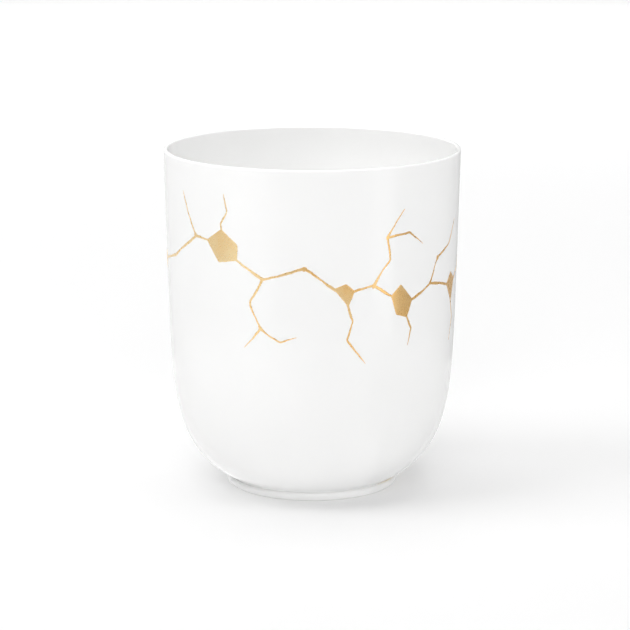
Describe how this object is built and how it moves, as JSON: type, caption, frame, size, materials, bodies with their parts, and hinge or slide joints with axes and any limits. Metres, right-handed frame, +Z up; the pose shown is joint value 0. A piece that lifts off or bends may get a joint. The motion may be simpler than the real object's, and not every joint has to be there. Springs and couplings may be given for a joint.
{
  "type": "porcelain cup",
  "caption": "Handleless porcelain cup with a thin rounded lip, a slightly tapering wall, a round bowl and a low foot ring; hollow and open at the top, decorated with flat gold lines.",
  "frame": {"origin": "on the cup's axis, in the plane that the foot ring stands on", "axes": "+Z up along the axis of rotation, towards the open rim; X and Y are level, and the picture looks along +Y"},
  "size_m": [0.08, 0.08, 0.0923],
  "materials": {
    "porcelain": "gloss",
    "gold": "satin"
  },
  "bodies": {
    "root": {"cup": "porcelain"}
  },
  "joints": []
}
